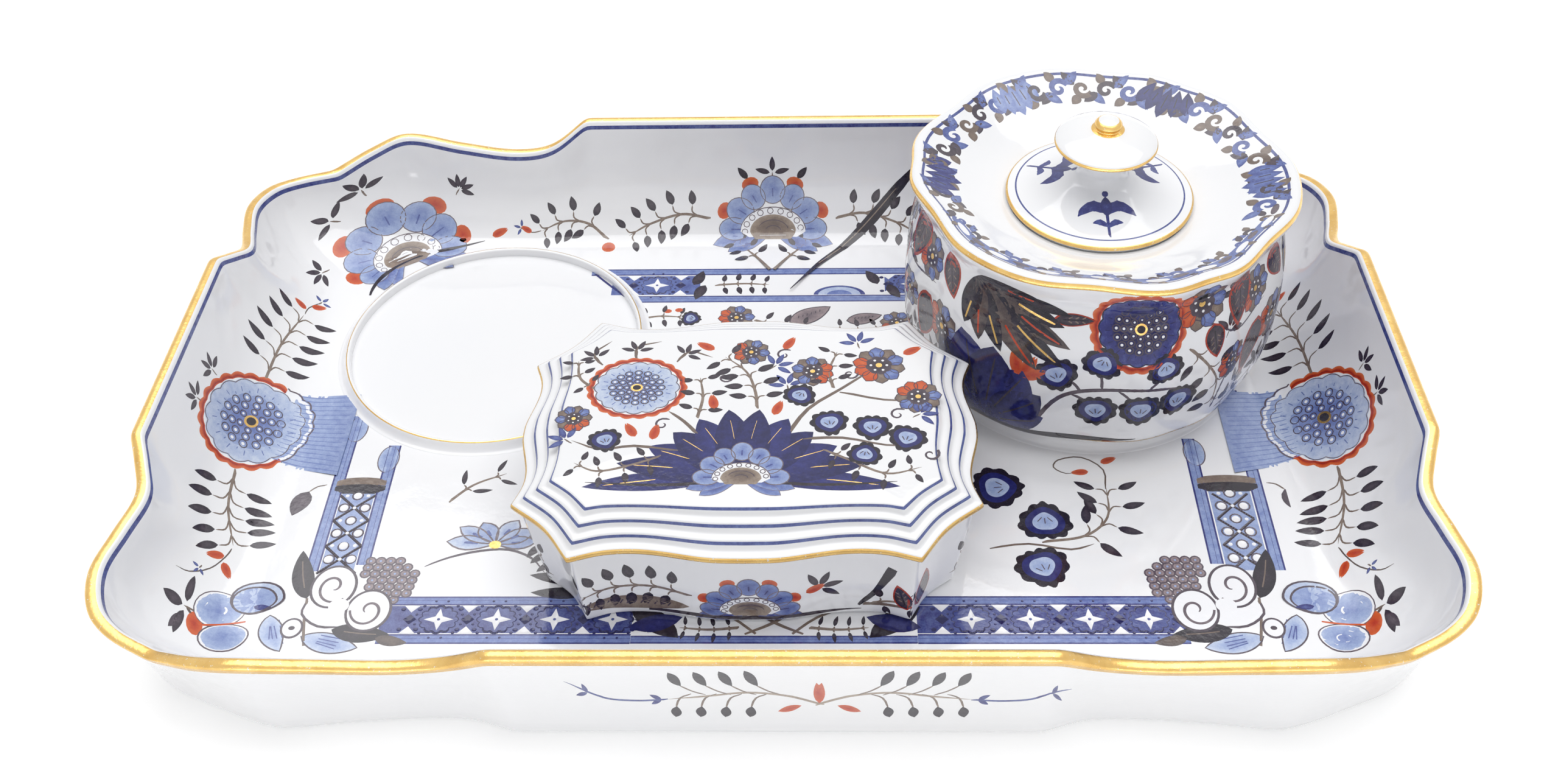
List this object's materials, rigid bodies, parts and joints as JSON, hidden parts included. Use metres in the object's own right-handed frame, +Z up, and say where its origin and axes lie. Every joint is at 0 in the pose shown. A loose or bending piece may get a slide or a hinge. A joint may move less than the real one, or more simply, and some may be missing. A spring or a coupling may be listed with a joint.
{
  "type": "desk inkstand",
  "caption": "Glazed porcelain desk inkstand: wavy-rimmed writing tray with round seats, a lobed ink pot with liner and knobbed lid, and a small lidded box.",
  "frame": {"origin": "under the middle of the tray, on the surface that it stands on", "axes": "+Z up; +X to the right along the tray's length, seen from the front; +Y to the back"},
  "size_m": [0.305, 0.1956, 0.0798],
  "materials": {
    "tray_porcelain": "clear-glazed white porcelain, painted in blue, iron red, brown and gold",
    "pot_porcelain": "clear-glazed white porcelain, painted",
    "liner_porcelain": "clear-glazed white porcelain, plain",
    "lid_porcelain": "clear-glazed white porcelain, gilt edge and bud",
    "box_porcelain": "clear-glazed white porcelain, painted",
    "box_lid_porcelain": "clear-glazed white porcelain, painted, gilt edge"
  },
  "bodies": {
    "tray": {"tray": "tray_porcelain"},
    "pot": {"pot_body": "pot_porcelain"},
    "liner": {"ink_liner": "liner_porcelain"},
    "pot_lid": {"pot_lid": "lid_porcelain"},
    "box": {"box_body": "box_porcelain"},
    "box_lid": {"box_lid": "box_lid_porcelain"}
  },
  "joints": [
    {"name": "pot_lift", "type": "slide", "parent": "tray", "child": "pot", "axis": [0, 0, 1], "range_m": [0, 0.1]},
    {"name": "liner_lift", "type": "slide", "parent": "pot", "child": "liner", "axis": [0, 0, 1], "range_m": [0, 0.07]},
    {"name": "pot_lid_lift", "type": "slide", "parent": "liner", "child": "pot_lid", "axis": [0, 0, 1], "range_m": [0, 0.05]},
    {"name": "box_lift", "type": "slide", "parent": "tray", "child": "box", "axis": [0, 0, 1], "range_m": [0, 0.09]},
    {"name": "box_lid_lift", "type": "slide", "parent": "box", "child": "box_lid", "axis": [0, 0, 1], "range_m": [0, 0.07]}
  ]
}
